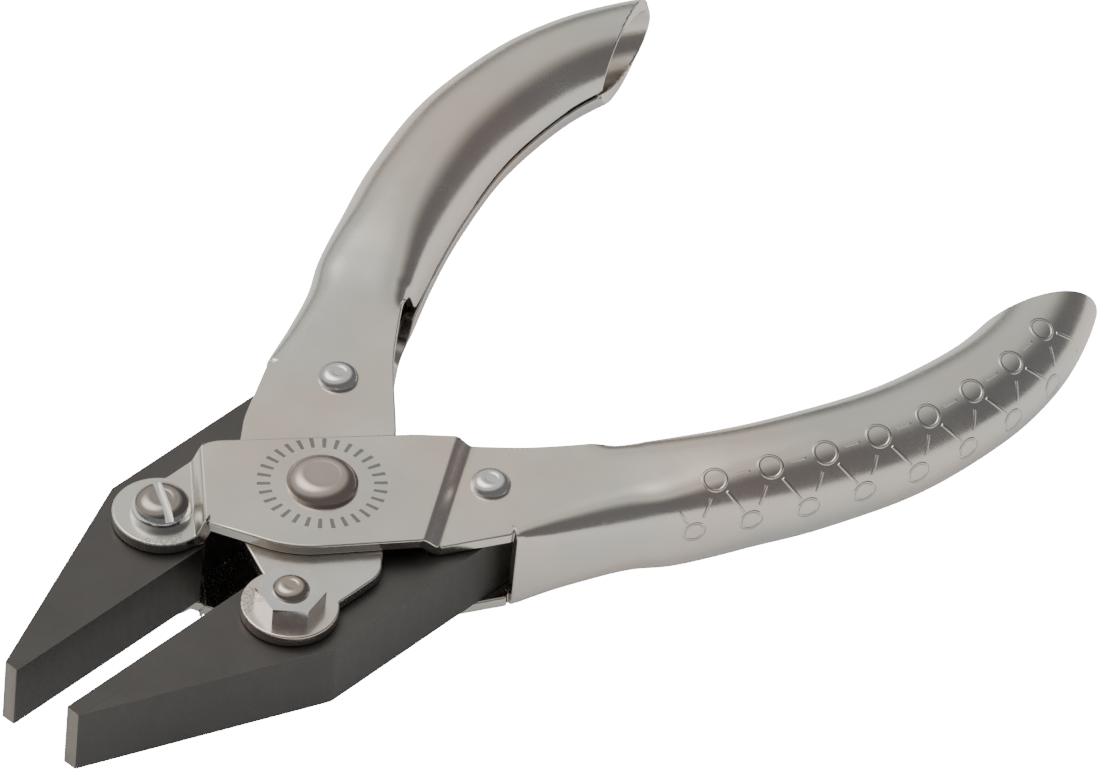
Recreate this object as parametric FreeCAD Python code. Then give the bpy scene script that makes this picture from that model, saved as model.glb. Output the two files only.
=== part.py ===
"""Parallel-action flat nose pliers, 140 mm long when closed.

Two pressed sheet handles cross at the centre and carry two steel jaws between their cheeks.
Each jaw turns on a screw at the front of one handle, and a rivet at the rear of the other
handle slides in a slot in its tail, so the two gripping faces stay parallel as they open.

Frame: +X runs to the jaw tips, +Z is up, and the origin is on the pivot axis at the flat of
the lower centre rivet head, on which the tool rests. The tool is modelled half open.
"""
import FreeCAD, Part
import math
import os

from FreeCAD import Vector

os.makedirs("parts", exist_ok=True)

# Sheet, jaws and the stack along the pivot axis (mm)
SHEET = 1.4              # thickness of the handle sheet
JAW_THICKNESS = 8.0
PLATE_GAP = 0.05         # running gap between two flat faces that slide on each other
RIVET_HEAD_HEIGHT = 1.5
MID_Z = JAW_THICKNESS / 2 + 2 * (PLATE_GAP + SHEET) + RIVET_HEAD_HEIGHT

# Levels of the cheeks, measured from the middle plane
FLAT_IN = JAW_THICKNESS / 2 + PLATE_GAP
FLAT_OUT = FLAT_IN + SHEET
RAISED_IN = FLAT_OUT + PLATE_GAP
RAISED_OUT = RAISED_IN + SHEET

# Linkage: both handles have a front pivot and a rear rivet at these polar places
FRONT_RADIUS = 17.7
FRONT_ANGLE = 33.1       # degrees from the X axis with the tool as modelled
REAR_RADIUS = 18.5
REAR_ANGLE = 38.3        # degrees from the -X axis with the tool as modelled

# Pins, holes and fits
FRONT_PIN = 5.0          # diameter of the jaw pivot screw's shank
REAR_PIN = 3.6           # diameter of the rear rivet inside the jaw slot
CENTRE_PIN = 5.0         # diameter of each centre rivet
CENTRE_SINK = 0.8        # depth and widening of the countersink at the rivet's inner end
TENON = 2.8              # diameter of the rear rivet where it passes through the sheet
THREAD = 4.0             # diameter of the screw where it passes through the far cheek
RUNNING_FIT = 0.04       # radial clearance of a turning pin
SLOT_FIT = 0.12          # clearance on each side of the rear rivet in its slot

# Jaws
GAP_HALF = 3.7           # from the middle line to a gripping face, as modelled
JAW_TIP_X = 42.6
JAW_TIP_WIDTH = 1.8
JAW_TAPER_X = 15.1       # where the outer side stops tapering
JAW_SIDE_Y = 16.8        # outer side of the jaw behind the taper
JAW_TAIL_X = -20.8
JAW_PRONG_X = -19.2      # end of the tail's inner prong
JAW_THROAT_X = 14.2      # where the gripping face ends and the throat begins
JAW_THROAT_DEPTH = 2.4
JAW_TAIL_CHAMFER = 3.5
JAW_EDGE = 0.25
SLOT_FRONT_X = -9.5      # closed end of the slot in the tail

# Handles
LOBE_RADIUS = 5.35
JOGGLE_LENGTH = 0.75
WEB_FRONT_X = -10.9
WEB_FRONT_Y = 18.9
WEB_FRONT_LINE = (0.32, 1.0)  # direction of the web's front edge in plan
FOLD_RADIUS = 2.4        # outer radius of the fold between cheek and web
SEAM = 0.5
MOUTH_HEIGHT = 4.4       # height of the opening where the two cheek edges meet
MOUTH_X = -29.5
GRIP_END_CUT = 66.0      # degrees of the end cut to the Y axis

# Heads
RIVET_HEAD = 7.8
RIVET_LAND = 3.6
SCREW_HEAD = 6.7
SCREW_HEAD_HEIGHT = 2.2
SCREW_SLOT_WIDTH = 0.9
SCREW_SLOT_DEPTH = 1.0
SCREW_SLOT_ANGLE = 60.0  # degrees from +X
NUT_FLATS = 6.6
NUT_HEIGHT = 2.0
NUT_TURN = 47.0          # places a flat, not a corner, beside the joggle
STUD_DOME = 0.8
REAR_HEAD = 4.4
REAR_HEAD_HEIGHT = 1.0

# Grip stations: x, distance from the middle line, half width, half height, squareness
GRIP_STATIONS = [
    (-26.5, 20.5, 5.9, FLAT_OUT, 5.0),
    (-31.0, 22.6, 5.9, 5.9, 3.4),
    (-37.5, 25.8, 6.05, 6.4, 2.6),
    (-46.0, 29.5, 6.2, 6.4, 2.3),
    (-57.1, 33.0, 6.2, 6.05, 2.2),
    (-68.2, 34.2, 5.95, 5.65, 2.1),
    (-76.0, 33.6, 5.7, 5.4, 2.0),
    (-82.5, 31.7, 5.4, 5.15, 2.0),
    (-88.5, 28.5, 5.25, 5.1, 2.0),
    (-93.5, 24.2, 5.15, 5.0, 2.0),
]
GRIP_END = (-83.1, 31.5)  # where the end cut crosses the spine
SECTION_POINTS = 24


def polar(radius, degrees):
    """Return the point at a radius and an angle from +X, in the middle plane."""
    angle = math.radians(degrees)
    return Vector(radius * math.cos(angle), radius * math.sin(angle), MID_Z)


# The joggled handle carries the pivot at -Y and its rear rivet is at +Y; the flat one mirrors it
FRONT_PIVOT = polar(FRONT_RADIUS, -FRONT_ANGLE)
REAR_PIVOT = polar(REAR_RADIUS, 180 - REAR_ANGLE)


def mirrored(shape):
    """Mirror a shape in the X-Z plane."""
    return shape.mirror(Vector(0, 0, 0), Vector(0, 1, 0))


def cylinder(diameter, z_low, z_high, place):
    """Return an upright cylinder between two levels measured from the middle plane."""
    base = Vector(place.x, place.y, MID_Z + z_low)
    return Part.makeCylinder(diameter / 2, z_high - z_low, base)


def rounded_outline(corners):
    """Return a closed wire through (x, y, radius) corners, each rounded by an arc."""
    edges = []
    ends = []
    count = len(corners)
    for index, (x, y, radius) in enumerate(corners):
        corner = Vector(x, y, 0)
        before = Vector(*corners[index - 1][:2], 0) - corner
        after = Vector(*corners[(index + 1) % count][:2], 0) - corner
        if radius == 0:
            ends.append((corner, corner, None))
            continue
        half = before.getAngle(after) / 2
        reach = radius / math.tan(half)
        start = corner + before.normalize() * reach
        stop = corner + after.normalize() * reach
        middle_way = (before + after).normalize()
        middle = corner + middle_way * (radius / math.sin(half) - radius)
        ends.append((start, stop, Part.Arc(start, middle, stop).toShape()))
    for index, (start, stop, arc) in enumerate(ends):
        if arc:
            edges.append(arc)
        following = ends[(index + 1) % count][0]
        if (following - stop).Length > 1e-6:
            edges.append(Part.LineSegment(stop, following).toShape())
    return Part.Wire(edges)


def slab(outline, z_low, z_high):
    """Extrude an outline between two levels measured from the middle plane."""
    face = Part.Face(outline)
    face.translate(Vector(0, 0, MID_Z + z_low))
    return face.extrude(Vector(0, 0, z_high - z_low))


def half_plane(point, direction, z_low, z_high, reach=200.0):
    """Return a large block on the left of a line in plan, between two levels."""
    along = Vector(*direction, 0).normalize()
    left = Vector(-along.y, along.x, 0)
    start = Vector(*point, 0) - along * reach
    stop = Vector(*point, 0) + along * reach
    corners = [start, stop, stop + left * reach, start + left * reach, start]
    return slab(Part.makePolygon(corners), z_low, z_high)


# ---------------------------------------------------------------- handles

def cheek_outline():
    """Return the plan of a cheek: crossing neck, rivet area and flat rear part."""
    return rounded_outline([
        (FRONT_PIVOT.x, FRONT_PIVOT.y + 1.0, 0),
        (FRONT_PIVOT.x, -13.1, 0),
        (4.3, -13.1, 4.0),
        (-13.2, 1.4, 20.0),
        (-20.9, 9.2, 20.0),
        (-30.9, 16.8, 0),
        (-27.2, 26.4, 0),
        (-18.4, 22.5, 20.0),
        (WEB_FRONT_X, WEB_FRONT_Y, 0),
        (-2.5, 14.1, 15.0),
        (9.6, 4.9, 12.0),
        (13.6, -4.2, 0),
    ])


def channel_pocket_outline():
    """Return the plan of the space inside the folded channel, open to the inner side."""
    return rounded_outline([
        (40.0, -60.0, 0),
        (-80.0, -60.0, 0),
        (-40.0, 30.8, 0),
        (-28.0, 26.2 - SHEET - 0.25, 0),
        (-18.4, 22.5 - SHEET - 0.1, 20.0),
        (WEB_FRONT_X, WEB_FRONT_Y - SHEET - 0.2, 0),
        (40.0, -10.0, 0),
    ])


# Lines across the cheek where the joggled handle steps up over the flat one:
# a point, the direction along the line with the raised part on the left
FRONT_JOGGLE = ((6.6, -12.2), (7.6, 8.15))
REAR_JOGGLE = ((-2.6, 14.0), (-13.8, -8.4))


def joggle_ramp(line, side):
    """Return the sloping strip outside a joggle line, on the upper or lower cheek."""
    (x, y), direction = line
    along = Vector(*direction, 0).normalize()
    right = Vector(along.y, -along.x, 0)
    start = Vector(x, y, MID_Z) - along * 60
    profile = [
        (0, RAISED_IN), (0, RAISED_OUT), (JOGGLE_LENGTH, FLAT_OUT), (JOGGLE_LENGTH, FLAT_IN),
    ]
    points = [start + right * out + Vector(0, 0, side * level) for out, level in profile]
    face = Part.Face(Part.makePolygon(points + points[:1]))
    return face.extrude(along * 120)


def cheek_plan(z_low, z_high):
    """Return the whole plan of a cheek with its lobe as a slab."""
    neck = slab(cheek_outline(), z_low, z_high)
    lobe = cylinder(2 * LOBE_RADIUS, z_low, z_high, FRONT_PIVOT)
    return neck.fuse(lobe).removeSplitter()


def joggled_cheek(side):
    """Return one cheek of the joggled handle, raised round the centre rivet."""
    low, high = sorted((side * FLAT_IN, side * RAISED_OUT))
    plan = cheek_plan(low, high)
    raised_low, raised_high = sorted((side * RAISED_IN, side * RAISED_OUT))
    flat_low, flat_high = sorted((side * FLAT_IN, side * FLAT_OUT))
    raised = half_plane(*FRONT_JOGGLE, raised_low, raised_high)
    raised = raised.common(half_plane(*REAR_JOGGLE, raised_low, raised_high))
    pieces = [raised]
    for (point, direction) in (FRONT_JOGGLE, REAR_JOGGLE):
        along = Vector(*direction, 0).normalize()
        right = Vector(along.y, -along.x, 0)
        edge = (point[0] + right.x * JOGGLE_LENGTH, point[1] + right.y * JOGGLE_LENGTH)
        pieces.append(half_plane(edge, (-direction[0], -direction[1]), flat_low, flat_high))
        pieces.append(joggle_ramp((point, direction), side))
    sheet = pieces[0].fuse(pieces[1:])
    return plan.common(sheet)


def flat_cheek(side):
    """Return one cheek of the flat handle."""
    low, high = sorted((side * FLAT_IN, side * FLAT_OUT))
    return cheek_plan(low, high)


def folded(outline, level, radius):
    """Return a slab behind the web's front edge with its outer long edges rounded."""
    body = slab(outline, -level, level)
    body = body.common(half_plane((WEB_FRONT_X, WEB_FRONT_Y), WEB_FRONT_LINE, -level, level))
    long_edges = []
    for edge in body.Edges:
        middle = edge.valueAt((edge.FirstParameter + edge.LastParameter) / 2)
        at_face = abs(abs(middle.z - MID_Z) - level) < 1e-6
        outside = middle.y > WEB_FRONT_Y - SHEET + 0.45 * (WEB_FRONT_X - middle.x)
        behind = middle.x < WEB_FRONT_X - 1.5 and middle.x > MOUTH_X + 1.5
        if at_face and outside and behind:
            long_edges.append(edge)
    return body.makeFillet(radius, long_edges)


def channel():
    """Return the folded channel behind the crossing: both cheeks and the web."""
    body = folded(cheek_outline(), FLAT_OUT, FOLD_RADIUS)
    pocket = slab(channel_pocket_outline(), -FLAT_IN, FLAT_IN)
    return body.cut(pocket)


def fold_trim():
    """Return the sharp corners outside the fold, to be cut off the flat cheeks."""
    behind = half_plane((WEB_FRONT_X, WEB_FRONT_Y), WEB_FRONT_LINE, -FLAT_OUT, FLAT_OUT)
    sharp = slab(cheek_outline(), -FLAT_OUT, FLAT_OUT).common(behind)
    return sharp.cut(folded(cheek_outline(), FLAT_OUT, FOLD_RADIUS))


def grip_section(station, wall):
    """Return the closed section of the grip at a station, inset by a wall."""
    x, y, half_width, half_height, squareness, tangent = station
    inward = Vector(-tangent.y, tangent.x, 0)
    centre = Vector(x, y, MID_Z)
    points = []
    for index in range(SECTION_POINTS):
        angle = 2 * math.pi * (index + 0.5) / SECTION_POINTS
        power = 2 / squareness
        across = math.copysign(abs(math.cos(angle)) ** power, math.cos(angle))
        rise = math.copysign(abs(math.sin(angle)) ** power, math.sin(angle))
        offset = inward * (across * (half_width - wall))
        points.append(centre + offset + Vector(0, 0, rise * (half_height - wall)))
    curve = Part.BSplineCurve()
    curve.interpolate(Points=points, PeriodicFlag=True)
    return Part.Wire(curve.toShape())


def grip_spine():
    """Return each grip station with the spine's tangent, which points to the end."""
    stations = []
    for index, (x, y, *size) in enumerate(GRIP_STATIONS):
        before = GRIP_STATIONS[max(index - 1, 0)]
        after = GRIP_STATIONS[min(index + 1, len(GRIP_STATIONS) - 1)]
        tangent = Vector(after[0] - before[0], after[1] - before[1], 0).normalize()
        stations.append((x, y, *size, tangent))
    return stations


def grip_tube():
    """Return the rolled grip: a closed tube with a seam on its inner side."""
    stations = grip_spine()
    outer = Part.makeLoft([grip_section(s, 0) for s in stations], True)
    inner = Part.makeLoft([grip_section(s, SHEET) for s in stations], True)
    tube = outer.cut(inner)
    angle = math.radians(GRIP_END_CUT)
    end = half_plane(GRIP_END, (-math.sin(angle), math.cos(angle)), -20, 20)
    tube = tube.cut(end)
    return tube.cut(seam_cutter(stations))


def seam_cutter(stations):
    """Return the slot along the inner side and the mouth where the cheek edges part."""
    spine = [Vector(s[0], s[1], 0) for s in stations]
    inner = [Vector(s[0] + 14 * -s[5].y, s[1] + 14 * s[5].x, 0) for s in reversed(stations)]
    seam = slab(Part.makePolygon(spine + inner + spine[:1]), -SEAM / 2, SEAM / 2)
    tangent = stations[1][5]
    across = Vector(-tangent.y, tangent.x, 0)
    reach = Vector(MOUTH_X, 16.5, MID_Z) - across * 5
    end_round = Part.makeCylinder(MOUTH_HEIGHT / 2, 14, reach, across)
    front = Part.makeBox(20, 14, MOUTH_HEIGHT)
    front.translate(Vector(0, 0, -MOUTH_HEIGHT / 2))
    angle = math.degrees(math.atan2(-tangent.y, -tangent.x))
    front.rotate(Vector(0, 0, 0), Vector(0, 0, 1), angle)
    front.translate(reach + across * 14)
    return seam.fuse([end_round, front])


def countersink(side, fit):
    """Return the cone that holds a centre rivet's inner end in the inner cheek."""
    radius = CENTRE_PIN / 2 + fit
    cone = Part.makeCone(radius + CENTRE_SINK, radius, CENTRE_SINK)
    return placed(cone, FLAT_IN, Vector(0, 0, 0), side)


def handle_holes(joggled):
    """Return the drilled holes of a handle as one cutter.

    The joggled handle's pivot screw enters from above, the flat handle's from below.
    """
    reach = RAISED_OUT + 1
    fit = 0 if joggled else RUNNING_FIT
    above, below = (FRONT_PIN, THREAD) if joggled else (THREAD, FRONT_PIN)
    holes = [
        cylinder(CENTRE_PIN + 2 * fit, -reach, reach, Vector(0, 0, 0)),
        cylinder(above, 0, reach, FRONT_PIVOT),
        cylinder(below, -reach, 0, FRONT_PIVOT),
        cylinder(TENON, -reach, reach, REAR_PIVOT),
    ]
    if not joggled:
        holes += [countersink(side, fit) for side in (1, -1)]
    return holes[0].fuse(holes[1:])


def handle(joggled):
    """Return a whole handle in the joggled handle's place."""
    cheek = joggled_cheek if joggled else flat_cheek
    cheeks = cheek(1).fuse(cheek(-1)).cut(fold_trim())
    body = channel().fuse([cheeks, grip_tube()])
    return body.cut(handle_holes(joggled))


# ---------------------------------------------------------------- jaws

def jaw():
    """Return the jaw on the +Y side."""
    grip = GAP_HALF
    throat = grip + JAW_THROAT_DEPTH
    outline = rounded_outline([
        (JAW_TIP_X, grip, JAW_EDGE),
        (JAW_TIP_X, grip + JAW_TIP_WIDTH, JAW_EDGE),
        (JAW_TAPER_X, JAW_SIDE_Y, 1.5),
        (JAW_TAIL_X + JAW_TAIL_CHAMFER, JAW_SIDE_Y, 1.0),
        (JAW_TAIL_X, JAW_SIDE_Y - JAW_TAIL_CHAMFER, 1.0),
        (JAW_TAIL_X, REAR_PIVOT.y, 0),
        (JAW_PRONG_X, REAR_PIVOT.y, 0),
        (JAW_PRONG_X, throat + 1.9, 0.5),
        (-12.0, throat, 4.0),
        (JAW_THROAT_X - JAW_THROAT_DEPTH, throat, 1.5),
        (JAW_THROAT_X, grip, 0.4),
    ])
    body = slab(outline, -JAW_THICKNESS / 2, JAW_THICKNESS / 2)
    pivot = Vector(FRONT_PIVOT.x, -FRONT_PIVOT.y, 0)
    bore = cylinder(FRONT_PIN + 2 * RUNNING_FIT, -JAW_THICKNESS, JAW_THICKNESS, pivot)
    return body.cut([bore, jaw_slot()])


def jaw_slot():
    """Return the slot in a jaw's tail, parallel to the gripping face, open at the rear."""
    half = REAR_PIN / 2 + SLOT_FIT
    y = REAR_PIVOT.y
    outline = rounded_outline([
        (SLOT_FRONT_X + half, y - half, half * 0.999),
        (SLOT_FRONT_X + half, y + half, half * 0.999),
        (JAW_TAIL_X - 5, y + half, 0),
        (JAW_TAIL_X - 5, y - half, 0),
    ])
    return slab(outline, -JAW_THICKNESS, JAW_THICKNESS)


# ---------------------------------------------------------------- fasteners

def domed_head(diameter, height, land):
    """Return a domed head on the plane z = 0 with a flat land on top."""
    radius = diameter / 2
    rim = height * 0.25
    shoulder = Vector(radius * 0.86, 0, height * 0.72)
    profile = Part.Wire([
        Part.LineSegment(Vector(0, 0, 0), Vector(radius, 0, 0)).toShape(),
        Part.LineSegment(Vector(radius, 0, 0), Vector(radius, 0, rim)).toShape(),
        Part.Arc(Vector(radius, 0, rim), shoulder, Vector(land / 2, 0, height)).toShape(),
        Part.LineSegment(Vector(land / 2, 0, height), Vector(0, 0, height)).toShape(),
        Part.LineSegment(Vector(0, 0, height), Vector(0, 0, 0)).toShape(),
    ])
    return Part.Face(profile).revolve(Vector(0, 0, 0), Vector(0, 0, 1), 360)


def placed(head, level, place, side):
    """Put a head made on z = 0 at a level on the upper (1) or lower (-1) side."""
    if side < 0:
        head = head.mirror(Vector(0, 0, 0), Vector(0, 0, 1))
    head = head.copy()
    head.translate(Vector(place.x, place.y, MID_Z + side * level))
    return head


def centre_rivet(side):
    """Return one of the two short rivets that join a pair of crossing cheeks."""
    low, high = sorted((side * FLAT_IN, side * RAISED_OUT))
    shank = cylinder(CENTRE_PIN, low, high, Vector(0, 0, 0))
    head = placed(domed_head(RIVET_HEAD, RIVET_HEAD_HEIGHT, RIVET_LAND), RAISED_OUT,
                  Vector(0, 0, 0), side)
    return shank.fuse([head, countersink(side, 0)]).removeSplitter()


def rear_rivet():
    """Return a shouldered rivet that spans the channel and slides in a jaw slot."""
    shoulder = cylinder(REAR_PIN, -FLAT_IN, FLAT_IN, REAR_PIVOT)
    tenon = cylinder(TENON, -FLAT_OUT, FLAT_OUT, REAR_PIVOT)
    head = domed_head(REAR_HEAD, REAR_HEAD_HEIGHT, REAR_HEAD * 0.3)
    heads = [placed(head, FLAT_OUT, REAR_PIVOT, side) for side in (1, -1)]
    return shoulder.fuse([tenon] + heads).removeSplitter()


def pivot_screw():
    """Return a slotted screw with its head on the upper side."""
    head = domed_head(SCREW_HEAD, SCREW_HEAD_HEIGHT, SCREW_HEAD * 0.3)
    slot = Part.makeBox(SCREW_HEAD * 2, SCREW_SLOT_WIDTH, SCREW_SLOT_DEPTH * 2)
    slot.translate(Vector(-SCREW_HEAD, -SCREW_SLOT_WIDTH / 2,
                          SCREW_HEAD_HEIGHT - SCREW_SLOT_DEPTH))
    slot.rotate(Vector(0, 0, 0), Vector(0, 0, 1), SCREW_SLOT_ANGLE)
    head = placed(head.cut(slot), FLAT_OUT, FRONT_PIVOT, 1)
    shank = cylinder(FRONT_PIN, -FLAT_IN, FLAT_OUT, FRONT_PIVOT)
    thread = cylinder(THREAD, -FLAT_OUT - NUT_HEIGHT, 0, FRONT_PIVOT)
    end = placed(domed_head(THREAD, STUD_DOME, THREAD * 0.3), FLAT_OUT + NUT_HEIGHT,
                 FRONT_PIVOT, -1)
    return shank.fuse([thread, head, end]).removeSplitter()


def pivot_nut():
    """Return the hexagon nut on the lower end of a pivot screw."""
    corner = NUT_FLATS / math.sqrt(3)
    points = [polar(corner, 60 * index + NUT_TURN) for index in range(7)]
    points = [Vector(point.x, point.y, 0) for point in points]
    hexagon = Part.Face(Part.makePolygon(points)).extrude(Vector(0, 0, NUT_HEIGHT))
    cone = Part.makeCone(corner + NUT_HEIGHT, corner - 0.35, NUT_HEIGHT + 0.35)
    nut = hexagon.common(cone)
    nut = placed(nut, FLAT_OUT, FRONT_PIVOT, -1)
    return nut.cut(cylinder(THREAD, -20, 20, FRONT_PIVOT))


def flipped(shape):
    """Turn a fastener upside down in its own place, about the middle plane."""
    return shape.mirror(Vector(0, 0, MID_Z), Vector(0, 0, 1))


def build():
    """Return every node with its solid or group of solids."""
    return {
        "handle_joggled": handle(True),
        "handle_flat": mirrored(handle(False)),
        "jaw_right": jaw(),
        "jaw_left": mirrored(jaw()),
        "centre_rivets": Part.makeCompound([centre_rivet(1), centre_rivet(-1)]),
        "rear_rivet_joggled": rear_rivet(),
        "rear_rivet_flat": mirrored(rear_rivet()),
        "pivot_screw_left": pivot_screw(),
        "pivot_nut_left": pivot_nut(),
        "pivot_screw_right": flipped(mirrored(pivot_screw())),
        "pivot_nut_right": flipped(mirrored(pivot_nut())),
    }


for name, shape in build().items():
    shape.exportStep("parts/" + name + ".step")
    print(name, len(shape.Solids), round(shape.Volume, 1), shape.isValid())
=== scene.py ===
# %% [markdown]
# # Parallel-action flat nose pliers
# The tool has two handles pressed from steel sheet and two solid jaws between them. This first
# cell loads the measured frame of the tool, which fixes where every piece sits and how it moves.

import math

import bpy
from mathutils import Matrix, Vector


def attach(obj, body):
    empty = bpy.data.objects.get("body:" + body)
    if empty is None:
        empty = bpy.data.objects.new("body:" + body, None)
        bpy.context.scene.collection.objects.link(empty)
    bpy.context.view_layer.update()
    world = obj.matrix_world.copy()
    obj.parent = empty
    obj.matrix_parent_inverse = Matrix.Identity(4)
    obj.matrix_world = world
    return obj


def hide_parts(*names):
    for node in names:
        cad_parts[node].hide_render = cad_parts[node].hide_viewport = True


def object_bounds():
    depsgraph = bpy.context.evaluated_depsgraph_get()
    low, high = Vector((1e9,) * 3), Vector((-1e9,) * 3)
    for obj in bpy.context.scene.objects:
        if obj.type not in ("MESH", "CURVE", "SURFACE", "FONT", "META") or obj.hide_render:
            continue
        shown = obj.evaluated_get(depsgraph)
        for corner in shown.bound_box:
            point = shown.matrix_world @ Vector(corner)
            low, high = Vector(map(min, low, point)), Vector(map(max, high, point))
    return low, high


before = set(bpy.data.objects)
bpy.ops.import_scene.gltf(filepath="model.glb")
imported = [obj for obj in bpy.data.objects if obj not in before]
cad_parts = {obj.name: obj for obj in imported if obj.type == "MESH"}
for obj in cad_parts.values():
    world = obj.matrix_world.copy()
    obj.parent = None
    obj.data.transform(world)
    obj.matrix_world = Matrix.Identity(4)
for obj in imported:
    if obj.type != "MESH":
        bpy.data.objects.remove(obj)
cad_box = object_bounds()
MM = 0.001
print("frame size in mm:", [round((b - a) / MM, 1) for a, b in zip(*cad_box)])

# %% [markdown]
# A new object in Blender is selected when it is made, and tools act on all that is selected, so
# two small helpers come first. One clears the selection, the other picks a single object.

# %% Selection helpers


def deselect_all():
    for other in bpy.context.selected_objects:
        other.select_set(False)


def only(piece):
    deselect_all()
    piece.select_set(True)
    bpy.context.view_layer.objects.active = piece


def apply_modifier(piece, kind, **settings):
    only(piece)
    modifier = piece.modifiers.new(kind.title(), kind)
    for name, value in settings.items():
        setattr(modifier, name, value)
    bpy.ops.object.modifier_apply(modifier=modifier.name)


deselect_all()

# %% [markdown]
# The camera comes early, because it decides which details matter. The tool is seen from above
# and in front of the jaws through a long lens, so that parallel edges stay nearly parallel. The
# camera is aimed at a point of the tool and then rolled a little about its own axis.

# %% Camera
AIM = Vector((-35.5, 1.1, 8.4)) * MM
BEARING = math.radians(39.4)
HEIGHT = math.radians(42.56)
DISTANCE = 1318 * MM
ROLL = math.radians(5.67)

away = Vector((
    math.cos(HEIGHT) * math.cos(BEARING),
    math.cos(HEIGHT) * math.sin(BEARING),
    math.sin(HEIGHT),
))
bpy.ops.object.camera_add(location=AIM + away * DISTANCE)
camera = bpy.context.object
turn = (-away).to_track_quat("-Z", "Y").to_matrix() @ Matrix.Rotation(ROLL, 3, "Z")
camera.rotation_euler = turn.to_euler()
camera.data.sensor_width = 36
camera.data.lens = 392.7
camera.data.clip_start = 0.05
camera.data.clip_end = 10
camera.data.dof.use_dof = False
bpy.context.scene.camera = camera
bpy.context.view_layer.update()
print("camera right axis", [round(v, 3) for v in camera.matrix_world.col[0][:3]])

# %% [markdown]
# ## Finishes
# Every finish is built from nodes. Noise at two scales is used by all of the metals: a slow
# cloud that changes the sheen, and a fine grain that breaks up the reflections. It is a node
# group, made once and placed in each material with its own numbers.

# %% Helper for node trees


def node(tree, kind, inputs=None, **settings):
    made = tree.nodes.new(kind)
    for name, value in settings.items():
        setattr(made, name, value)
    for name, value in (inputs or {}).items():
        if isinstance(value, bpy.types.NodeSocket):
            tree.links.new(value, made.inputs[name])
        else:
            made.inputs[name].default_value = value
    return made


def math_node(tree, operation, first, second=0.0, third=0.0, clamp=False):
    made = node(tree, "ShaderNodeMath", {0: first, 1: second, 2: third}, operation=operation)
    made.use_clamp = clamp
    return made.outputs[0]


def new_group(name, inputs, outputs):
    tree = bpy.data.node_groups.new(name, "ShaderNodeTree")
    for title, kind, value in inputs:
        socket = tree.interface.new_socket(title, in_out="INPUT", socket_type=kind)
        if value is not None:
            socket.default_value = value
    for title, kind in outputs:
        tree.interface.new_socket(title, in_out="OUTPUT", socket_type=kind)
    return tree, tree.nodes.new("NodeGroupInput").outputs, tree.nodes.new("NodeGroupOutput")


def use_group(tree, group, **values):
    made = tree.nodes.new("ShaderNodeGroup")
    made.node_tree = group
    for name, value in values.items():
        socket = made.inputs[name.replace("_", " ")]
        if isinstance(value, bpy.types.NodeSocket):
            tree.links.new(value, socket)
        else:
            socket.default_value = value
    return made.outputs


# %% Group: metal surface
FLOAT = "NodeSocketFloat"
VECTOR = "NodeSocketVector"
COLOUR = "NodeSocketColor"

surface_group, given, out = new_group(
    "MetalSurface",
    [
        ("Place", VECTOR, None),
        ("Cloud size", FLOAT, 120.0),
        ("Grain size", FLOAT, 1500.0),
        ("Stretch", VECTOR, (1.0, 1.0, 1.0)),
        ("Rough low", FLOAT, 0.2),
        ("Rough high", FLOAT, 0.3),
    ],
    [("Cloud", FLOAT), ("Grain", FLOAT), ("Roughness", FLOAT)],
)
t = surface_group
cloud = node(t, "ShaderNodeTexNoise", {
    "Vector": given["Place"], "Scale": given["Cloud size"], "Detail": 4.0, "Roughness": 0.55})
stretched = node(t, "ShaderNodeVectorMath", {0: given["Place"], 1: given["Stretch"]},
                 operation="MULTIPLY")
grain = node(t, "ShaderNodeTexNoise", {
    "Vector": stretched.outputs[0], "Scale": given["Grain size"], "Detail": 3.0})
mixed = math_node(t, "ADD", math_node(t, "MULTIPLY", cloud.outputs[0], 0.65),
                  math_node(t, "MULTIPLY", grain.outputs[0], 0.35))
rough = node(t, "ShaderNodeMapRange", {
    "Value": mixed, 1: 0.3, 2: 0.7, 3: given["Rough low"], 4: given["Rough high"]})
t.links.new(cloud.outputs[0], out.inputs["Cloud"])
t.links.new(grain.outputs[0], out.inputs["Grain"])
t.links.new(rough.outputs[0], out.inputs["Roughness"])
print("group", t.name, "has", len(t.nodes), "nodes")

# %% [markdown]
# Handling and rubbing brighten the edges of a metal part. The second group finds them: a Bevel
# node looks round each edge, and the difference between its normal and the true one is the
# mask.

# %% Group: edge wear
wear_group, given, out = new_group("EdgeWear", [("Width", FLOAT, 0.0004)], [("Edge", FLOAT)])
t = wear_group
bevel = node(t, "ShaderNodeBevel", {"Radius": given["Width"]}, samples=12)
geometry = node(t, "ShaderNodeNewGeometry")
alike = node(t, "ShaderNodeVectorMath", {0: bevel.outputs[0], 1: geometry.outputs["Normal"]},
             operation="DOT_PRODUCT")
edge = node(t, "ShaderNodeMapRange", {
    "Value": alike.outputs["Value"], 1: 1.0, 2: 0.8, 3: 0.0, 4: 1.0})
t.links.new(edge.outputs[0], out.inputs["Edge"])
print("group", t.name, "has", len(t.nodes), "nodes")

# %% [markdown]
# A material starts from the same few nodes each time: Object coordinates, the surface group and
# one Principled shader set to metal. The helper below makes that chain. Each finish then adds
# its own colours and bump, and the edge mask where its edges are worn.

# %% Helpers: start a metal, mix colours, add bump


def start_metal(name, cloud_size, grain_size, stretch, rough_low, rough_high, metallic=1.0):
    material = bpy.data.materials.new(name)
    material.use_nodes = True
    tree = material.node_tree
    shader = tree.nodes["Principled BSDF"]
    place = node(tree, "ShaderNodeTexCoord").outputs["Object"]
    surface = use_group(
        tree, surface_group, Place=place, Cloud_size=cloud_size, Grain_size=grain_size,
        Stretch=stretch, Rough_low=rough_low, Rough_high=rough_high)
    shader.inputs["Metallic"].default_value = metallic
    tree.links.new(surface["Roughness"], shader.inputs["Roughness"])
    return material, tree, shader, place, surface


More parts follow.
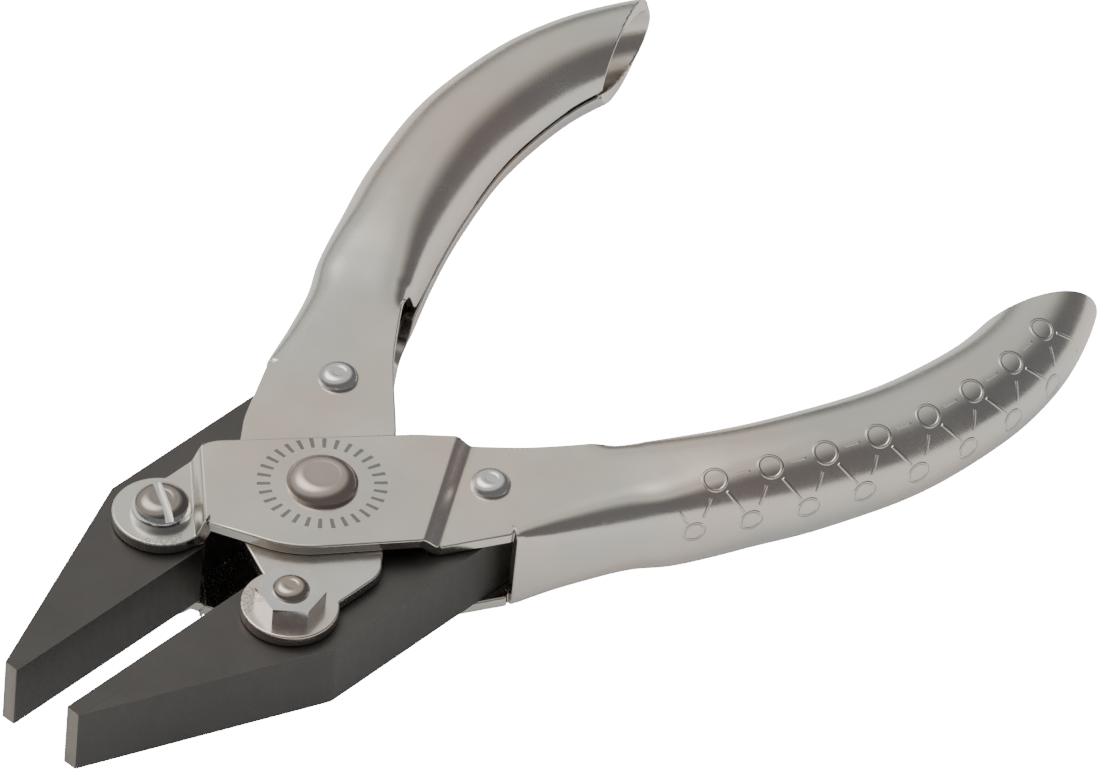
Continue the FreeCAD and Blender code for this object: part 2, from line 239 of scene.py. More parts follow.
def worn_edge(tree, width, strength):
    mask = use_group(tree, wear_group, Width=width)["Edge"]
    return math_node(tree, "MULTIPLY", mask, strength)


def mix_colour(tree, factor, first, second, blend="MIX"):
    made = node(tree, "ShaderNodeMix", data_type="RGBA", blend_type=blend)
    for index, value in ((0, factor), (6, first), (7, second)):
        if isinstance(value, bpy.types.NodeSocket):
            tree.links.new(value, made.inputs[index])
        else:
            made.inputs[index].default_value = value
    return made.outputs[2]


def bump(tree, height, strength, distance, normal=None):
    inputs = {"Height": height, "Strength": strength, "Distance": distance}
    if normal is not None:
        inputs["Normal"] = normal
    return node(tree, "ShaderNodeBump", inputs).outputs[0]


# %% [markdown]
# ### Bright zinc plate
# The handles are pressed from sheet and plated, so they are light and shine softly: flat areas
# look like satin and the rolled grips show long dark and light bands. Plate is never one even
# colour, so a slow noise drifts between a warm and a cool grey.

# %% Bright zinc plate
EVEN = (1.0, 1.0, 1.0)
zinc, tree, shader, place, surface = start_metal(
    "zinc_sheet_bright", 90.0, 2600.0, EVEN, 0.17, 0.30)
tint = node(tree, "ShaderNodeTexNoise", {"Vector": place, "Scale": 55.0, "Detail": 2.0})
tint = node(tree, "ShaderNodeMapRange", {
    "Value": tint.outputs[0], 1: 0.38, 2: 0.62, 3: 0.0, 4: 1.0})
warm = mix_colour(tree, surface["Cloud"], (0.69, 0.595, 0.53, 1), (0.75, 0.665, 0.60, 1))
cool = mix_colour(tree, surface["Cloud"], (0.61, 0.60, 0.56, 1), (0.68, 0.67, 0.635, 1))
base = mix_colour(tree, tint.outputs[0], warm, cool)
base = mix_colour(tree, worn_edge(tree, 0.0003, 0.5), base, (0.85, 0.84, 0.82, 1))
fine = bump(tree, surface["Grain"], 0.03, 0.00003)
slow = bump(tree, surface["Cloud"], 0.06, 0.0005, fine)

# %% [markdown]
# The outer side of each grip is embossed with a truss of thin lines with small rings at its
# joints, which stops the hand from slipping. It would take many thousands of faces to model, and
# it repeats, so it is drawn as a height from the UV map: the distance to the nearest ring or
# line is worked out, and what is close to one is raised.

# %% Group: grip pattern
PITCH = 6.45         # from one ring to the next along a row, in mm
FIRST_RING = 3.9
LAST_END = 51.5
ROW_HIGH = 6.7       # height of each row round the section
ROW_LOW = 0.9
LOW_SHIFT = 2.9      # how far the low row is set back from the high one
RING_HIGH = 1.3      # radius of the rings in each row
RING_LOW = 1.15

pattern_group, given, out = new_group(
    "GripPattern", [("UV", VECTOR, None), ("Line", FLOAT, 0.12)], [("Height", FLOAT)])
t = pattern_group
parts = node(t, "ShaderNodeSeparateXYZ", {0: given["UV"]})
run = math_node(t, "MULTIPLY", parts.outputs[0], 100.0)
round_it = math_node(t, "MULTIPLY", parts.outputs[1], 100.0)


def cell(shift):
    """Distance along the handle from the nearest joint of a row."""
    moved = math_node(t, "SUBTRACT", run, shift - PITCH / 2)
    return math_node(t, "SUBTRACT", math_node(t, "FLOORED_MODULO", moved, PITCH), PITCH / 2)


def ring(place, row, radius):
    rise = math_node(t, "SUBTRACT", round_it, row)
    squares = math_node(t, "ADD", math_node(t, "MULTIPLY", place, place),
                        math_node(t, "MULTIPLY", rise, rise))
    gap = math_node(t, "SUBTRACT", math_node(t, "SQRT", squares), radius)
    return math_node(t, "ABSOLUTE", gap)


def dash(place, start, end, begin, stop):
    """Distance to the part of the line from start to end between two fractions."""
    dx, dy = end[0] - start[0], end[1] - start[1]
    length = math.hypot(dx, dy)
    mid = (begin + stop) / 2
    px = math_node(t, "SUBTRACT", place, start[0] + dx * mid)
    py = math_node(t, "SUBTRACT", round_it, start[1] + dy * mid)
    lengthwise = math_node(t, "ADD", math_node(t, "MULTIPLY", px, dx / length),
                           math_node(t, "MULTIPLY", py, dy / length))
    aside = math_node(t, "SUBTRACT", math_node(t, "MULTIPLY", px, dy / length),
                      math_node(t, "MULTIPLY", py, dx / length))
    past = math_node(t, "SUBTRACT", math_node(t, "ABSOLUTE", lengthwise), length * (stop - begin) / 2)
    past = math_node(t, "MAXIMUM", past, 0.0)
    return math_node(t, "MAXIMUM", past, math_node(t, "ABSOLUTE", aside))


high = cell(FIRST_RING)
low = cell(FIRST_RING - LOW_SHIFT)
middle = cell(FIRST_RING + PITCH / 2)
early = math_node(t, "LESS_THAN", run, 2.2)
nearest = ring(high, ROW_HIGH, RING_HIGH)
for other in (
    ring(low, ROW_LOW, RING_LOW),
    dash(high, (0.0, ROW_HIGH), (-LOW_SHIFT, ROW_LOW), 0.36, 0.66),
    dash(high, (0.0, ROW_HIGH), (PITCH - LOW_SHIFT, ROW_LOW), 0.3, 0.74),
    math_node(t, "ADD", early, dash(middle, (-0.7, ROW_HIGH), (0.7, ROW_HIGH), 0.0, 1.0)),
):
    nearest = math_node(t, "MINIMUM", nearest, other)
line = node(t, "ShaderNodeMapRange", {"Value": nearest, 1: 0.04, 2: 0.2, 3: 1.0, 4: 0.0},
            interpolation_type="SMOOTHSTEP")
begin = math_node(t, "GREATER_THAN", run, -0.8)
stop = math_node(t, "LESS_THAN", run, LAST_END)
limits = math_node(t, "MULTIPLY", begin, stop)
t.links.new(math_node(t, "MULTIPLY", line.outputs[0], limits), out.inputs["Height"])
print("group", t.name, "has", len(t.nodes), "nodes")

# %% Emboss the zinc
EMBOSS = 0.00011
grip_uv = node(tree, "ShaderNodeTexCoord").outputs["UV"]
pressed = use_group(tree, pattern_group, UV=grip_uv)
tree.links.new(bump(tree, pressed["Height"], 1.0, EMBOSS, slow), shader.inputs["Normal"])

# %% [markdown]
# A ring of short etched strokes runs round the centre rivet. It is a mask of the angle and the
# distance from the axis, and it is kept to the top of the raised cheek by its height.

# %% Etched strokes round the centre rivet
STROKES = 30
STROKE_INNER = 0.0056
STROKE_OUTER = 0.0071
STROKE_SHARE = 0.17      # half the width of a stroke, as a share of the step between strokes
RAISED_CHEEK = 0.0151    # the top of the flat cheek is below this height
parts = node(tree, "ShaderNodeSeparateXYZ", {0: place})
x_side = math_node(tree, "MULTIPLY", parts.outputs[0], parts.outputs[0])
y_side = math_node(tree, "MULTIPLY", parts.outputs[1], parts.outputs[1])
reach = math_node(tree, "SQRT", math_node(tree, "ADD", x_side, y_side))
angle = math_node(tree, "ARCTAN2", parts.outputs[1], parts.outputs[0])
step = math_node(tree, "FRACT", math_node(tree, "MULTIPLY", angle, STROKES / (2 * math.pi)))
beside = math_node(tree, "ABSOLUTE", math_node(tree, "SUBTRACT", step, 0.5))
stroke = math_node(tree, "LESS_THAN", beside, STROKE_SHARE)
for operation, value, limit in (
    ("GREATER_THAN", reach, STROKE_INNER),
    ("LESS_THAN", reach, STROKE_OUTER),
    ("GREATER_THAN", parts.outputs[2], RAISED_CHEEK),
):
    inside = math_node(tree, operation, value, limit)
    stroke = math_node(tree, "MULTIPLY", stroke, inside)
etched = mix_colour(tree, math_node(tree, "MULTIPLY", stroke, 0.75), base, (0.10, 0.095, 0.09, 1))
tree.links.new(etched, shader.inputs["Base Color"])

# %% [markdown]
# ### Blackened jaw steel
# The jaws are milled from bar and blackened. The oxide is a thin dark skin over steel, so it has
# a soft sheen, fine straight milling marks, and edges where the skin has begun to wear. The tips
# are ground after blackening and show the bare steel.

# %% Black oxide with ground tips
TIP_X = 0.04255
black, tree, shader, place, surface = start_metal(
    "black_oxide", 160.0, 1400.0, (1.0, 1.0, 0.18), 0.34, 0.48, metallic=0.75)
skin = mix_colour(tree, surface["Cloud"], (0.068, 0.064, 0.062, 1), (0.098, 0.093, 0.090, 1))
skin = mix_colour(tree, worn_edge(tree, 0.00022, 0.55), skin, (0.22, 0.21, 0.20, 1))
parts = node(tree, "ShaderNodeSeparateXYZ", {0: place})
tip = math_node(tree, "GREATER_THAN", parts.outputs[0], TIP_X)
ground = mix_colour(tree, surface["Grain"], (0.17, 0.15, 0.135, 1), (0.30, 0.27, 0.25, 1))
tree.links.new(mix_colour(tree, tip, skin, ground), shader.inputs["Base Color"])
milled = bump(tree, surface["Grain"], 0.12, 0.00002)
tree.links.new(bump(tree, surface["Cloud"], 0.08, 0.0002, milled), shader.inputs["Normal"])

# %% [markdown]
# ### Rivet steel and plated fasteners
# The centre rivets are bare steel and have gone slightly brown. The screws, the nuts and the
# rear rivets are plated like the handles, but smoother, because they are turned. The screw
# heads and the screw ends in the nuts have lost their plating and are brown too. One screw
# points up and the other down, so height times the sign of y is positive at both ends in the
# nuts and negative at both heads.

# %% Rivet steel and plated fasteners
rivet, tree, shader, place, surface = start_metal(
    "rivet_steel_brown", 150.0, 3000.0, EVEN, 0.22, 0.28)
brown = mix_colour(tree, surface["Cloud"], (0.40, 0.33, 0.30, 1), (0.50, 0.43, 0.39, 1))
tree.links.new(brown, shader.inputs["Base Color"])
tree.links.new(bump(tree, surface["Grain"], 0.04, 0.00003), shader.inputs["Normal"])

MIDDLE = 8.4        # height of the tool's middle plane in mm
STUD_LEVEL = 7.6    # above this the screw's end stands out of its nut
HEAD_LEVEL = 7.0    # above this is the face of a screw's head
plated, tree, shader, place, surface = start_metal(
    "zinc_fastener_bright", 500.0, 3200.0, EVEN, 0.12, 0.22)
silver = mix_colour(tree, surface["Cloud"], (0.62, 0.61, 0.60, 1), (0.76, 0.76, 0.76, 1))
parts = node(tree, "ShaderNodeSeparateXYZ", {0: place})
level = math_node(tree, "SUBTRACT", parts.outputs[2], MIDDLE * MM)
level = math_node(tree, "MULTIPLY", level, math_node(tree, "SIGN", parts.outputs[1]))
stud = math_node(tree, "GREATER_THAN", level, STUD_LEVEL * MM)
silver = mix_colour(tree, stud, silver, (0.42, 0.36, 0.32, 1))
head = math_node(tree, "LESS_THAN", level, -HEAD_LEVEL * MM)
silver = mix_colour(tree, head, silver, (0.34, 0.30, 0.27, 1))
tree.links.new(silver, shader.inputs["Base Color"])
tree.links.new(bump(tree, surface["Grain"], 0.04, 0.00003), shader.inputs["Normal"])

# %% [markdown]
# ## Handles
# Each handle is one piece of sheet. Behind the crossing it is folded into a channel, and then
# rolled into an oval grip whose two edges meet in a seam on the inner side. A flat grid is a good
# start, because it is a sheet too: one way of it runs along the handle, the other way goes
# round. The next cell says where the sheet goes at a few stations, and what is between them
# follows a smooth curve. Lengths are in millimetres until the piece is finished.

# %% Stations along a handle
SHEET = 1.4         # thickness of the sheet
FLAT = 5.45         # from the middle plane to the outside of a flat cheek
STEP = 1.45         # how far the joggled cheek rises over the flat one
SPAN = 9            # rings of the sheet from one station to the next

# outer point, inner point (x, y), half height, corner radius, roundness, squareness
CHANNEL = [
    (-10.9, 18.9, -15.69, 3.93, FLAT, 0.7, 0.0, 9.0),
    (-14.6, 20.7, -18.9, 7.2, FLAT, 2.0, 0.0, 9.0),
    (-18.4, 22.4, -22.6, 10.6, FLAT, 2.6, 0.0, 8.0),
    (-24.0, 25.2, -28.5, 14.95, 5.55, 3.6, 0.2, 6.0),
]
# centre of the grip (x, y), half width, half height, squareness
GRIP = [
    (-31.0, 22.6, 5.95, 5.85, 3.8),
    (-37.5, 25.8, 6.05, 6.3, 2.6),
    (-46.0, 29.5, 6.2, 6.4, 2.3),
    (-57.1, 33.0, 6.2, 6.05, 2.2),
    (-68.2, 34.2, 5.95, 5.65, 2.1),
    (-76.0, 33.6, 5.7, 5.4, 2.0),
    (-82.5, 31.7, 5.4, 5.15, 2.0),
    (-88.5, 28.5, 5.25, 5.1, 2.0),
    (-93.5, 24.2, 5.15, 5.0, 2.0),
]


def grip_knots():
    """Each grip station written the way of the channel's: outer and inner point, then sizes."""
    knots = []
    for index, (x, y, half, tall, square) in enumerate(GRIP):
        before = GRIP[max(index - 1, 0)]
        after = GRIP[min(index + 1, len(GRIP) - 1)]
        run = math.hypot(after[0] - before[0], after[1] - before[1])
        inward = ((before[1] - after[1]) / run, (after[0] - before[0]) / run)
        roundness = 0.8 if index == 0 else 1.0
        knots.append((
            x - inward[0] * half, y - inward[1] * half, x + inward[0] * half,
            y + inward[1] * half, tall, 4.0, roundness, square))
    return knots


KNOTS = CHANNEL + grip_knots()
print(len(KNOTS), "stations along a handle")

# %% Smooth curve through the stations


def along(knots, per_span):
    """Points on a Catmull-Rom curve through rows of numbers, per_span to each gap."""
    rows = []
    for index in range(len(knots) - 1):
        near = [knots[max(0, min(len(knots) - 1, index + k))] for k in (-1, 0, 1, 2)]
        for part in range(per_span):
            u = part / per_span
            weights = (
                (-u + 2 * u * u - u ** 3) / 2, (2 - 5 * u * u + 3 * u ** 3) / 2,
                (u + 4 * u * u - 3 * u ** 3) / 2, (u ** 3 - u * u) / 2)
            rows.append([sum(w * row[c] for w, row in zip(weights, near))
                         for c in range(len(knots[0]))])
    rows.append(list(knots[-1]))
    return rows


def smooth(low, high, value):
    """0 below low, 1 above high, and an easy rise between them."""
    u = max(0.0, min(1.0, (value - low) / (high - low)))
    return u * u * (3 - 2 * u)


def even(points, count):
    """The same line with count + 1 points at equal distances."""
    lengths = [0.0]
    for a, b in zip(points, points[1:]):
        lengths.append(lengths[-1] + math.dist(a, b))
    result, k = [], 0
    for index in range(count + 1):
        want = lengths[-1] * index / count
        while k < len(points) - 2 and lengths[k + 1] < want:
            k += 1
        span = max(lengths[k + 1] - lengths[k], 1e-9)
        u = (want - lengths[k]) / span
        result.append(tuple(a + (b - a) * u for a, b in zip(points[k], points[k + 1])))
    return result


# %% [markdown]
# The section is drawn in its own plane: the first number runs across the handle, positive to
# the inner side, and the second is the height. The outer half changes from a box with rounded
# corners to an oval. The inner part starts as the flat cheek and curls over, and the space
# between its two edges narrows to the seam. What stays open in front of it is the mouth.

# %% Section of a handle
INNER_POINTS = 20
OUTER_POINTS = 20
CURL = (27.0, 32.0)      # where the inner edges curl over, in mm behind the pivot axis
CLOSE = (31.0, 33.2)     # where the mouth narrows to the seam
SEAM_HALF = 0.25
MOUTH_HALF = 3.65


def oval_quarter(half, tall, square, low=0.0):
    """From the top down one side of the oval, stopping at a height."""
    points = []
    for index in range(121):
        angle = math.pi / 2 * (1 - index / 120)
        point = (half * math.cos(angle) ** (2 / square), tall * max(math.sin(angle), 0) ** (2 / square))
        if point[1] < low:
            break
        points.append(point)
    return points


def box_quarter(half, tall, radius):
    """From the top down one side of a box with a rounded corner."""
    corner = [(half - radius + radius * math.sin(a), tall - radius + radius * math.cos(a))
              for a in (math.pi / 2 * k / 16 for k in range(17))]
    return [(0.0, tall)] + corner + [(half, 0.0)]


def section(half, tall, radius, roundness, square, curl, gap):
    """Half of a section, from the inner edge over the top to the outermost point."""
    arc = even(oval_quarter(half, tall, square, gap), INNER_POINTS)
    inner = [(half * k / INNER_POINTS * (1 - curl) + arc[k][0] * curl,
              tall * (1 - curl) + arc[k][1] * curl) for k in range(INNER_POINTS, 0, -1)]
    box = even(box_quarter(half, tall, radius), OUTER_POINTS)
    oval = even(oval_quarter(half, tall, square), OUTER_POINTS)
    outer = [(-(b[0] * (1 - roundness) + o[0] * roundness),
              b[1] * (1 - roundness) + o[1] * roundness) for b, o in zip(box, oval)]
    return inner + outer


def rings():
    """Every ring of the sheet: its points, and its distance along the handle."""
    result, run, last = [], 0.0, None
    for ox, oy, ix, iy, tall, radius, roundness, square in along(KNOTS, SPAN):
        centre = ((ox + ix) / 2, (oy + iy) / 2)
        half = math.dist((ox, oy), (ix, iy)) / 2
        across = ((ix - ox) / 2 / half, (iy - oy) / 2 / half)
        curl = smooth(*CURL, -ix)
        gap = SEAM_HALF + (MOUTH_HALF - SEAM_HALF) * (1 - smooth(*CLOSE, -ix))
        top = section(half, tall, radius, roundness, square, curl, gap)
        whole = top + [(a, -z) for a, z in reversed(top[:-1])]
        run += math.dist(centre, last) if last else 0.0
        last = centre
        points = [(centre[0] + across[0] * a, centre[1] + across[1] * a, MIDDLE + z)
                  for a, z in whole]
        result.append((points, run))
    return result


RINGS = rings()
print(len(RINGS), "rings of", len(RINGS[0][0]), "points")

# %% [markdown]
# In front of the channel both cheeks go on as flat plates to the pivot at the front. Their
# outline is the same on both handles. It has straight sides with rounded corners and ends in a
# round lobe about the pivot screw.

# %% Outline of a cheek in front of the fold
PIVOT = (14.8276, -9.666)
LOBE = 5.35
LOBE_FROM = 219.9        # degrees from +X at which the round of the lobe begins and ends
LOBE_TO = 462.5
LOBE_STEPS = 56


def rounded(corner, before, after, radius, count=8):
    """Points on an arc that rounds one corner of an outline."""
    start = Vector(before) - Vector(corner)
    end = Vector(after) - Vector(corner)
    half_angle = start.angle(end) / 2
    cut = radius / math.tan(half_angle)
    centre = Vector(corner) + (start.normalized() + end.normalized()).normalized() * (
        radius / math.sin(half_angle))
    first = Vector(corner) + start.normalized() * cut - centre
    last = Vector(corner) + end.normalized() * cut - centre
    sweep = first.angle_signed(last)
    return [tuple(centre + Matrix.Rotation(-sweep * k / count, 2) @ first)
            for k in range(count + 1)]


def cheek_outline():
    """Counterclockwise outline of the cheek, from the fold's inner end to its outer end."""
    start = RINGS[0][0][0][:2]
    half_ring = RINGS[0][0][:INNER_POINTS + OUTER_POINTS + 1]
    flat = [p[:2] for p in half_ring if p[2] > MIDDLE + FLAT - 1e-6]
    turns = [math.radians(LOBE_FROM + (LOBE_TO - LOBE_FROM) * k / LOBE_STEPS)
             for k in range(LOBE_STEPS + 1)]
    lobe = [(PIVOT[0] + LOBE * math.cos(a), PIVOT[1] + LOBE * math.sin(a)) for a in turns]
    shape = rounded((-13.2, 1.4), start, (4.3, -13.1), 9.0)
    shape += rounded((4.3, -13.1), (-13.2, 1.4), lobe[0], 4.0)
    shape += lobe + [(13.6, -4.2)]
    shape += rounded((9.6, 4.9), (13.6, -4.2), (-2.5, 14.1), 12.0, 12)
    shape += rounded((-2.5, 14.1), (9.6, 4.9), (-10.62, 18.42), 15.0)
    shape += [(-10.62, 18.42)]
    return shape + list(reversed(flat))


OUTLINE = cheek_outline()
print("cheek outline has", len(OUTLINE), "points")

# %% [markdown]
# The blank is now made. A grid and two filled circles are added, their points are put on the
# rings and on the outline, and the three are joined and welded where they share points. The
# grid keeps its own UV map, rewritten in tenths of a metre along and round the handle, so
# that a pattern can follow the surface.

# %% Helpers for the blank


def grid_sheet(name):
    count = len(RINGS[0][0])
    deselect_all()
    bpy.ops.mesh.primitive_grid_add(
        x_subdivisions=len(RINGS) - 1, y_subdivisions=count - 1, size=2, calc_uvs=True)
    sheet = bpy.context.object
    sheet.name = name
    around = []
    for points, _ in RINGS:
        steps = [0.0]
        for a, b in zip(points, points[1:]):
            steps.append(steps[-1] + math.dist(a, b))
        around.append([steps[count // 2] - s for s in steps])
    start = RINGS[SPAN * len(CHANNEL)][1]
    place = {}
    for vertex in sheet.data.vertices:
        i = round((vertex.co.x + 1) / 2 * (len(RINGS) - 1))
        j = round((vertex.co.y + 1) / 2 * (count - 1))
        place[vertex.index] = (i, j)
        vertex.co = RINGS[i][0][j]
    layer = sheet.data.uv_layers.active
    for loop in sheet.data.loops:
        i, j = place[loop.vertex_index]
        layer.data[loop.index].uv = ((RINGS[i][1] - start) / 100, around[i][j] / 100)
    return sheet


def plate(height):
    deselect_all()
    bpy.ops.mesh.primitive_circle_add(vertices=len(OUTLINE), radius=1, fill_type="NGON")
    made = bpy.context.object
    turned = made.data.vertices[1].co.cross(made.data.vertices[0].co).z > 0
    points = reversed(OUTLINE) if turned else OUTLINE
    for vertex, (x, y) in zip(made.data.vertices, points):
        vertex.co = (x, y, MIDDLE + height)
    return made


def select_all_edit(piece):
    only(piece)
    bpy.ops.object.mode_set(mode="EDIT")
    bpy.ops.mesh.select_mode(type="VERT")
    bpy.ops.mesh.select_all(action="SELECT")


# %% [markdown]
# The joggle is a sharp step in the cheek, and sheet can't turn a corner of no radius. So the
# blank is cut along a few close lines on each side of the step, and the points between them are
# raised on an easy curve, which gives two small bends with a slope between them. The other
# handle is the same pressing turned over, so it is turned half round in its two directions.

# %% Joggle, end cut, thickness and edges
# point on the step, its direction, and where the slope begins and ends beside that line
FRONT_LINE = ((6.6, -12.2), (7.6, 8.15), -0.45, 0.9)
REAR_LINE = ((-2.6, 14.0), (-13.8, -8.4), -1.1, 0.95)
BENDS = 9
LEVEL = 0.06             # a point this near to the flat cheek's height is on it
CLOSE_CUTS = 0.06        # points nearer than this are made one after the cuts
CHEEK_X = -20            # the cheek is in front of this, and the end of the grip behind END_X
END_X = -60
END_POINT = (-83.1, 31.5)
END_ANGLE = math.radians(66)


def outside_line(line, x, y):
    (px, py), (dx, dy) = line[:2]
    run = math.hypot(dx, dy)
    return ((x - px) * dy - (y - py) * dx) / run


def joggle(piece):
    for line in (FRONT_LINE, REAR_LINE):
        (px, py), (dx, dy), start, stop = line
        run = math.hypot(dx, dy)
        right = (dy / run, -dx / run, 0)
        for out in [start + (stop - start) * k / (BENDS - 1) for k in range(BENDS)]:
            select_all_edit(piece)
            bpy.ops.mesh.bisect(
                plane_co=(px + right[0] * out, py + right[1] * out, 0), plane_no=right)
            bpy.ops.object.mode_set(mode="OBJECT")
    select_all_edit(piece)
    bpy.ops.mesh.remove_doubles(threshold=CLOSE_CUTS)
    bpy.ops.object.mode_set(mode="OBJECT")
    for vertex in piece.data.vertices:
        x, y, z = vertex.co
        flat = abs(abs(z - MIDDLE) - FLAT) < LEVEL
        if flat and x > CHEEK_X:
            rise = STEP
            for line in (FRONT_LINE, REAR_LINE):
                rise *= 1 - smooth(line[2], line[3], outside_line(line, x, y))
            vertex.co.z += math.copysign(rise, z - MIDDLE)


def select_end(sheet):
    only(sheet)
    bpy.ops.object.mode_set(mode="EDIT")
    bpy.ops.mesh.select_all(action="DESELECT")
    bpy.ops.object.mode_set(mode="OBJECT")
    for vertex in sheet.data.vertices:
        vertex.select = vertex.co.x < END_X
    bpy.ops.object.mode_set(mode="EDIT")


def make_handle(name, joggled, side):
    sheet = grid_sheet(name)
    above = plate(FLAT)
    below = plate(-FLAT)
    select_all_edit(below)
    bpy.ops.mesh.flip_normals()
    bpy.ops.object.mode_set(mode="OBJECT")
    only(sheet)
    above.select_set(True)
    below.select_set(True)
    bpy.ops.object.join()
    select_all_edit(sheet)
    bpy.ops.mesh.remove_doubles(threshold=0.004)
    bpy.ops.object.mode_set(mode="OBJECT")
    select_end(sheet)
    bpy.ops.mesh.bisect(
        plane_co=(*END_POINT, 0), plane_no=(-math.cos(END_ANGLE), -math.sin(END_ANGLE), 0),
        clear_outer=True)
    bpy.ops.object.mode_set(mode="OBJECT")
    select_end(sheet)
    bpy.ops.mesh.remove_doubles(threshold=0.12)
    bpy.ops.object.mode_set(mode="OBJECT")
    if joggled:
        joggle(sheet)
    select_all_edit(sheet)
    bpy.ops.mesh.normals_make_consistent(inside=False)
    bpy.ops.object.mode_set(mode="OBJECT")
    outward = sum(f.normal.z * (f.center.z - MIDDLE) for f in sheet.data.polygons)
    select_all_edit(sheet)
    if outward < 0:
        bpy.ops.mesh.flip_normals()
    if side < 0:
        bpy.ops.transform.resize(value=(1, -1, -1), center_override=(0, 0, MIDDLE))
    bpy.ops.transform.resize(value=(MM, MM, MM), center_override=(0, 0, 0))
    bpy.ops.object.mode_set(mode="OBJECT")
    apply_modifier(sheet, "SOLIDIFY", thickness=SHEET * MM, offset=-1, use_even_offset=True,
                   thickness_clamp=0.0)
    only(sheet)
    bpy.ops.object.shade_smooth()
    apply_modifier(sheet, "BEVEL", width=0.24 * MM, segments=3, limit_method="ANGLE",
                   angle_limit=math.radians(42), use_clamp_overlap=False,
                   harden_normals=True)
    apply_modifier(sheet, "WEIGHTED_NORMAL", mode="FACE_AREA", weight=100, keep_sharp=True)
    sheet.data.materials.clear()
    sheet.data.materials.append(zinc)
    print(name, len(sheet.data.polygons), "faces")
    return sheet


for style, side in (("joggled", 1), ("flat", -1)):
    handle = make_handle(style + "_handle_sheet", style == "joggled", side)
    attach(handle, style + "_handle")
    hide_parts("handle_" + style)

# %% [markdown]
# ## Jaws
# The two jaws are solid blocks with ground faces. Their frame shapes are exact but have sharp
# edges, and no real edge is sharp: a copy of each is welded, its flat faces are cleaned, and its
# edges are rounded a little so that they catch the light.

# %% Jaws with broken edges


EDGE = 0.16              # width of the broken edge in mm
SHARP = math.radians(30)


def rounded_copy(source, name, material):
    deselect_all()
    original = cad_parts[source]
    copy = original.copy()
    copy.data = original.data.copy()
    copy.name = name
    copy.parent = None
    bpy.context.scene.collection.objects.link(copy)
    for key in list(copy.keys()):
        if key.startswith("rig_"):
            del copy[key]
    select_all_edit(copy)
    bpy.ops.mesh.remove_doubles(threshold=0.002 * MM)
    bpy.ops.mesh.dissolve_limited(angle_limit=math.radians(1.0))
    bpy.ops.object.mode_set(mode="OBJECT")
    only(copy)
    bpy.ops.object.shade_smooth()
    apply_modifier(copy, "BEVEL", width=EDGE * MM, segments=3, limit_method="ANGLE",
                   angle_limit=SHARP, use_clamp_overlap=True, harden_normals=True)
    apply_modifier(copy, "WEIGHTED_NORMAL", mode="FACE_AREA", weight=100, keep_sharp=True)
    copy.data.materials.clear()
    copy.data.materials.append(material)
    print(name, len(copy.data.polygons), "faces")
    return copy


for side in ("left", "right"):
    jaw = rounded_copy("jaw_" + side, side + "_jaw_steel", black)
    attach(jaw, side + "_jaw")
    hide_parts("jaw_" + side)

# %% [markdown]
# ## Fasteners
# The rivets, screws and nuts are turned parts, and their frame shapes are right as they are.
# They only need a finish. Rivet heads are shaded smooth over a wider angle, because the flat
# on a headed rivet has no sharp border.

# %% Fasteners carried over from the frame
for name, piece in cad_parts.items():
    only(piece)
    piece.data.materials.clear()
    piece.data.materials.append(rivet if name == "centre_rivets" else plated)
    bpy.ops.object.shade_smooth_by_angle(angle=math.radians(50 if "rivet" in name else 25))

# %% [markdown]
# ## Floor and light
# The tool lies on a plain white table under a soft light that is above and a little to one
# side. The room beyond it is dark, and that is what draws the dark bands along the grips. The
# table glows a little for the metal to reflect, and strongly to the camera alone, so that the
# tool stands on clean white.

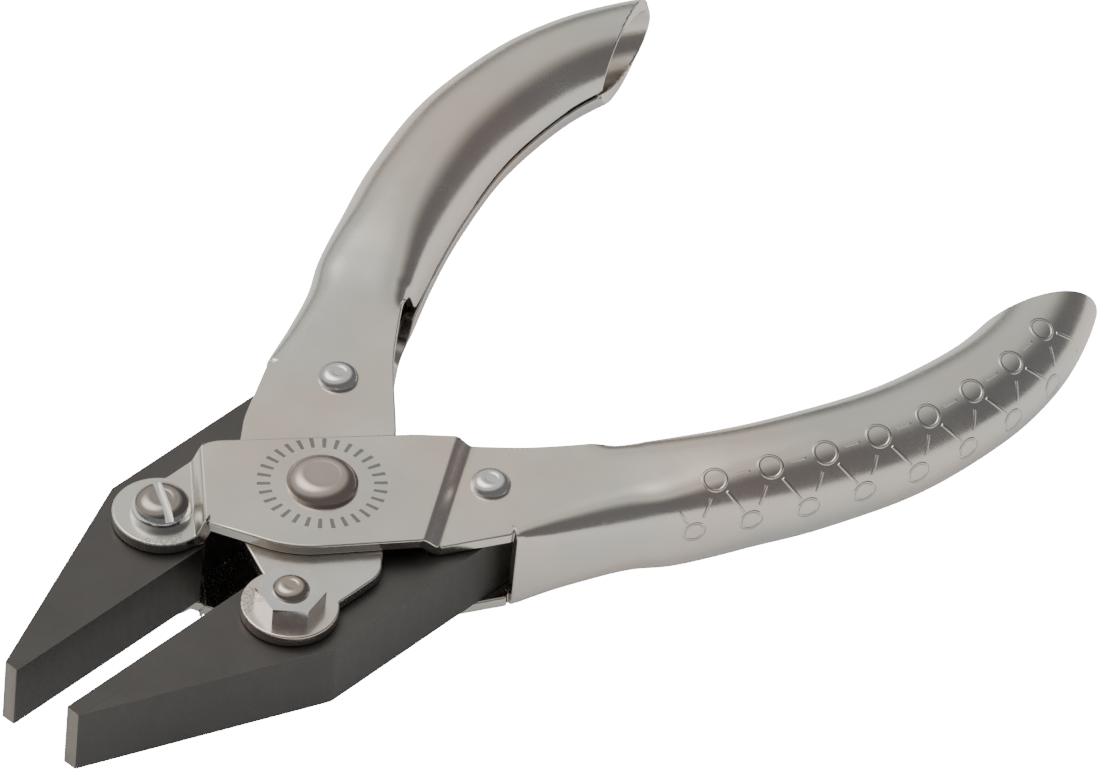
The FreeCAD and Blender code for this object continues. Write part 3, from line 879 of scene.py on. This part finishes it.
# %% Floor
GLOW = 0.28
GLOW_SEEN = 20.0
deselect_all()
bpy.ops.mesh.primitive_circle_add(vertices=96, radius=0.9, fill_type="NGON",
                                  location=(0, 0, cad_box[0].z))
floor = bpy.context.object
floor.name = "table"
white = bpy.data.materials.new("white_table")
white.use_nodes = True
tree = white.node_tree
place = node(tree, "ShaderNodeTexCoord").outputs["Object"]
speck = node(tree, "ShaderNodeTexNoise", {"Vector": place, "Scale": 40.0, "Detail": 3.0})
tone = mix_colour(tree, speck.outputs[0], (0.93, 0.93, 0.93, 1), (0.96, 0.96, 0.96, 1))
shader = tree.nodes["Principled BSDF"]
tree.links.new(tone, shader.inputs["Base Color"])
tree.links.new(tone, shader.inputs["Emission Color"])
shader.inputs["Roughness"].default_value = 0.9
shader.inputs["Emission Strength"].default_value = GLOW
glow = node(tree, "ShaderNodeEmission", {"Color": tone})
glow.inputs["Strength"].default_value = GLOW_SEEN
seen = node(tree, "ShaderNodeLightPath").outputs["Is Camera Ray"]
both = node(tree, "ShaderNodeAddShader")
tree.links.new(shader.outputs[0], both.inputs[0])
tree.links.new(glow.outputs[0], both.inputs[1])
choose = node(tree, "ShaderNodeMixShader", {0: seen})
tree.links.new(shader.outputs[0], choose.inputs[1])
tree.links.new(both.outputs[0], choose.inputs[2])
tree.links.new(choose.outputs[0], tree.nodes["Material Output"].inputs["Surface"])
floor.data.materials.append(white)

# %% Light
world = bpy.data.worlds.new("studio")
bpy.context.scene.world = world
world.use_nodes = True
tree = world.node_tree
place = node(tree, "ShaderNodeTexCoord").outputs["Generated"]
LIGHT_FROM = (0.0, -0.5, 0.857)
LIGHT = 3.8
# how bright the room is at each share of the way towards the light
LEVELS = ((0.0, 0.05), (0.42, 0.045), (0.60, 0.11), (0.70, 0.23), (0.80, 0.18), (0.88, 0.24),
          (0.93, 0.6), (0.97, 1.0))
toward = node(tree, "ShaderNodeVectorMath", {0: place, 1: LIGHT_FROM}, operation="DOT_PRODUCT")
ramp = node(tree, "ShaderNodeValToRGB", {0: toward.outputs["Value"]})
for position, level in LEVELS[2:]:
    ramp.color_ramp.elements.new(position)
for element, (position, level) in zip(ramp.color_ramp.elements, LEVELS):
    element.position = position
    blue = 1.03 if level < 0.1 else 0.94
    element.color = (level, level * 0.995, level * blue, 1)
background = tree.nodes["Background"]
tree.links.new(ramp.outputs[0], background.inputs[0])
background.inputs[1].default_value = LIGHT
